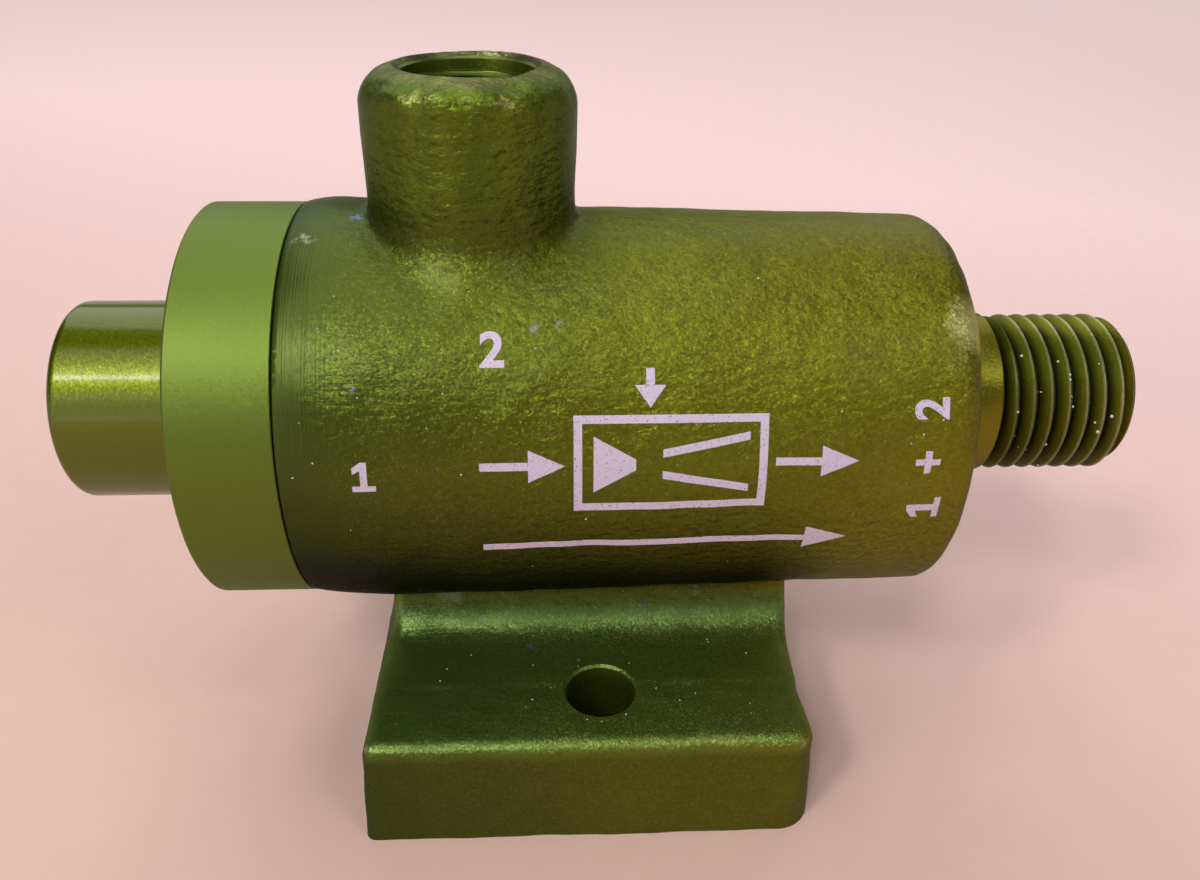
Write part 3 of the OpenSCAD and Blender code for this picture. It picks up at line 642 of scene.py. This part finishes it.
# Cut into small faces both ways, so that the marks bend with the skin
for axis, first, last in (((1, 0, 0), -20, 26), ((0, 1, 0), -6, 13)):
    for place in np.arange(first, last, WRAP_STEP):
        parts = [*marks.verts, *marks.edges, *marks.faces]
        bmesh.ops.bisect_plane(marks, geom=parts, plane_co=[place * a for a in axis], plane_no=axis)
skin_tree = BVHTree.FromObject(body, bpy.context.evaluated_depsgraph_get())
for vertex in marks.verts:
    along_x, turn = vertex.co.x, vertex.co.y / WRAP_R
    out = Vector((0, -math.cos(turn), math.sin(turn)))
    start = Vector((along_x, 0, AXIS_Z)) * MM + out * 0.02
    vertex.co = skin_tree.ray_cast(start, -out)[0] + out * 0.02 * MM
print_sheet = mesh_piece("port_print", [], [])
marks.to_mesh(print_sheet.data)
thicken = print_sheet.modifiers.new("thicken", "SOLIDIFY")
thicken.thickness, thicken.offset = INK_T * MM, -1
apply_modifiers(print_sheet)
smooth(print_sheet, ink)
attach(print_sheet, "root")

# --- Dust -----------------------------------------------------------------------------------
# Pale dust grains lodged in the leg's fillet, in the thread, and on the foot and the barrel. One
# Geometry Nodes group strews them inside a box, on skin that faces a given way.
PER_CM2 = 1e4
dust_grain, _ = new_material("pale dust", "#C9CCE0", 0.0, 0.8)
strew = bpy.data.node_groups.new("strew_dust", "GeometryNodeTree")
sockets = {}
for name, kind in (("Geometry", "NodeSocketGeometry"), ("Body", "NodeSocketObject"), ("Low corner", "NodeSocketVector"),
                   ("High corner", "NodeSocketVector"), ("Facing", "NodeSocketVector"), ("Per area", "NodeSocketFloat"),
                   ("Grain radius", "NodeSocketFloat"), ("Seed", "NodeSocketInt")):
    sockets[name] = strew.interface.new_socket(name, in_out="INPUT", socket_type=kind).identifier
strew.interface.new_socket("Geometry", in_out="OUTPUT", socket_type="NodeSocketGeometry")
given = node(strew, "NodeGroupInput").outputs
skin = node(strew, "GeometryNodeObjectInfo", {"transform_space": "RELATIVE"}, Object=given["Body"]).outputs["Geometry"]
place = node(strew, "GeometryNodeInputPosition").outputs[0]
normal = node(strew, "GeometryNodeInputNormal").outputs[0]
above = node(strew, "FunctionNodeCompare", {"data_type": "VECTOR", "operation": "GREATER_THAN"},
             _4=place, _5=given["Low corner"]).outputs[0]
below = node(strew, "FunctionNodeCompare", {"data_type": "VECTOR", "operation": "LESS_THAN"},
             _4=place, _5=given["High corner"]).outputs[0]
facing = node(strew, "ShaderNodeVectorMath", {"operation": "DOT_PRODUCT"}, _0=normal,
              _1=given["Facing"]).outputs["Value"]
faces_it = node(strew, "FunctionNodeCompare", {"operation": "GREATER_THAN"}, _0=facing, _1=0.3).outputs[0]
inside = node(strew, "FunctionNodeBooleanMath", _0=above, _1=below).outputs[0]
inside = node(strew, "FunctionNodeBooleanMath", _0=inside, _1=faces_it).outputs[0]
spread = node(strew, "GeometryNodeDistributePointsOnFaces", Mesh=skin, Selection=inside,
              Density=given["Per area"], Seed=given["Seed"]).outputs["Points"]
ball = node(strew, "GeometryNodeMeshIcoSphere", Radius=given["Grain radius"], Subdivisions=2).outputs["Mesh"]
size = node(strew, "FunctionNodeRandomValue", {"data_type": "FLOAT"}, _2=0.35, _3=1.3, Seed=given["Seed"]).outputs[1]
grains = node(strew, "GeometryNodeInstanceOnPoints", Points=spread, Instance=ball, Scale=size).outputs[0]
grains = node(strew, "GeometryNodeRealizeInstances", Geometry=grains).outputs[0]
grains = node(strew, "GeometryNodeSetMaterial", Geometry=grains, Material=dust_grain).outputs[0]
strew.links.new(grains, node(strew, "NodeGroupOutput").inputs[0])
for name, low, high, facing, count_cm2, radius, seed in (
        ("dust_fillet", (-19, -9, 11), (17, -2, 16), (0, -0.5, 0.87), 30, 0.08, 1),
        ("dust_foot", (-19, -18, 9.5), (17, -6, 11), (0, 0, 1), 9, 0.06, 2),
        ("dust_thread", (33.5, -7, 27), (43, -3, 39), (0, -1, 0), 12, 0.12, 3),
        ("dust_barrel", (-22, -16.5, 20), (27, -5, 46), (0, -0.8, 0.6), 1.6, 0.06, 5)):
    dust = mesh_piece(name, [], [])
    scatter = dust.modifiers.new("scatter", "NODES")
    scatter.node_group = strew
    for key, value in (("Body", body), ("Low corner", Vector(low) * MM), ("High corner", Vector(high) * MM),
                       ("Facing", facing), ("Per area", count_cm2 * PER_CM2), ("Grain radius", radius * MM),
                       ("Seed", seed)):
        scatter[sockets[key]] = value
    apply_modifiers(dust)
    smooth(dust, dust_grain)
    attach(dust, "root")

# --- Floor ----------------------------------------------------------------------------------
# Pale pink paper, a little uneven in tone, with painted light: its colour grows paler towards the back.
paper, shader = new_material("pale pink paper", "#E6C9C3", 0.0, 0.75)
tree = paper.node_tree
place = node(tree, "ShaderNodeSeparateXYZ", Vector=node(tree, "ShaderNodeTexCoord").outputs["Object"])
across = weighted(tree, (0.45, place.outputs["X"]), (1.0, place.outputs["Y"]))
# Painted light: the paper's colour grows paler towards the back
tone = stained(tree, colour("#DDB8AA"), (zone(tree, (across, -20, 210)), "#FCDCDA"))
fibres = node(tree, "ShaderNodeMapRange", _0=grain(tree, 3, 4), _1=0.3, _2=0.7, _3=0.985, _4=1.01).outputs[0]
tone = node(tree, "ShaderNodeHueSaturation", Color=tone, Value=fibres)
tree.links.new(tone.outputs[0], shader.inputs["Base Color"])


def seen(tree, mirrored=1.0):
    """1 for a ray from the camera, `mirrored` for one off metal or through glass, and 0 for any other."""
    path = node(tree, "ShaderNodeLightPath").outputs
    turned = node(tree, "ShaderNodeMath", {"operation": "MAXIMUM"}, _0=path["Is Glossy Ray"],
                  _1=path["Is Transmission Ray"]).outputs[0]
    turned = zone(tree, turned, mirrored)
    return node(tree, "ShaderNodeMath", {"operation": "MAXIMUM"}, _0=path["Is Camera Ray"], _1=turned).outputs[0]


# Far from the object the paper runs out into the pale surround
away = off_axis(tree, place.outputs["X"], place.outputs["Y"])
surround = node(tree, "ShaderNodeEmission", Color=colour("#EFD6D4"))
far = node(tree, "ShaderNodeMixShader", Fac=zone(tree, seen(tree), (away, 300, 900)),
           _1=shader.outputs[0], _2=surround.outputs[0])
tree.links.new(far.outputs[0], tree.nodes["Material Output"].inputs["Surface"])
bpy.ops.mesh.primitive_plane_add(size=4)
floor = bpy.context.object
floor.name = "paper_floor"
floor.data.materials.append(paper)

# --- Lights ---------------------------------------------------------------------------------
# Soft square lamps round the object, all at one distance: two windows in front and above, and weaker
# ones on both sides, overhead and behind. Angles are in degrees from the front, positive towards the cap.
LAMP_AWAY, LAMP_TARGET = 0.8, Vector((0, 0, 0.03))
for name, azimuth, elevation, size, watts in (
        ("window_left", 43, 44, 0.12, 1.7), ("window_right", 22, 46, 0.12, 1.52), ("left_low", 45, 15, 0.42, 0.47),
        ("left_middle", 40, 35, 0.42, 0.2), ("left_high", 60, 60, 0.42, 0.66), ("right_low", -45, 40, 0.3, 0.76),
        ("right_high", -45, 50, 0.12, 0.28), ("overhead", 0, 88, 0.42, 1.36), ("back_left", 150, 30, 0.42, 0.81),
        ("back_left_high", 150, 60, 0.42, 1.01), ("back", 180, 45, 0.42, 0.6), ("back_right", -150, 30, 0.42, 0.91)):
    turn, lift = math.radians(azimuth), math.radians(elevation)
    out = Vector((-math.sin(turn) * math.cos(lift), -math.cos(turn) * math.cos(lift), math.sin(lift)))
    lamp = bpy.data.lights.new(name, "AREA")
    lamp.size, lamp.energy = size, watts
    light = bpy.data.objects.new(name, lamp)
    light.location = LAMP_TARGET + LAMP_AWAY * out
    light.rotation_euler = (-out).to_track_quat("-Z", "Y").to_euler()
    bpy.context.scene.collection.objects.link(light)

# --- Surround -------------------------------------------------------------------------------
# Even pale backdrop in the paper's far colour. Metal shows only a low band of it, as under a dim
# ceiling, and it hardly lights anything.
world = bpy.data.worlds.new("surround")
bpy.context.scene.world = world
world.use_nodes = True
background = world.node_tree.nodes["Background"]
background.inputs["Color"].default_value = colour("#EFD6D4")
tree = world.node_tree
lift = node(tree, "ShaderNodeSeparateXYZ", Vector=node(tree, "ShaderNodeTexCoord").outputs["Generated"]).outputs["Z"]
low = node(tree, "ShaderNodeMapRange", _0=lift, _1=0.18, _2=0.04).outputs[0]
strength = node(tree, "ShaderNodeMix", _0=seen(tree, low), _2=0.02, _3=1.0).outputs[0]
tree.links.new(strength, background.inputs["Strength"])
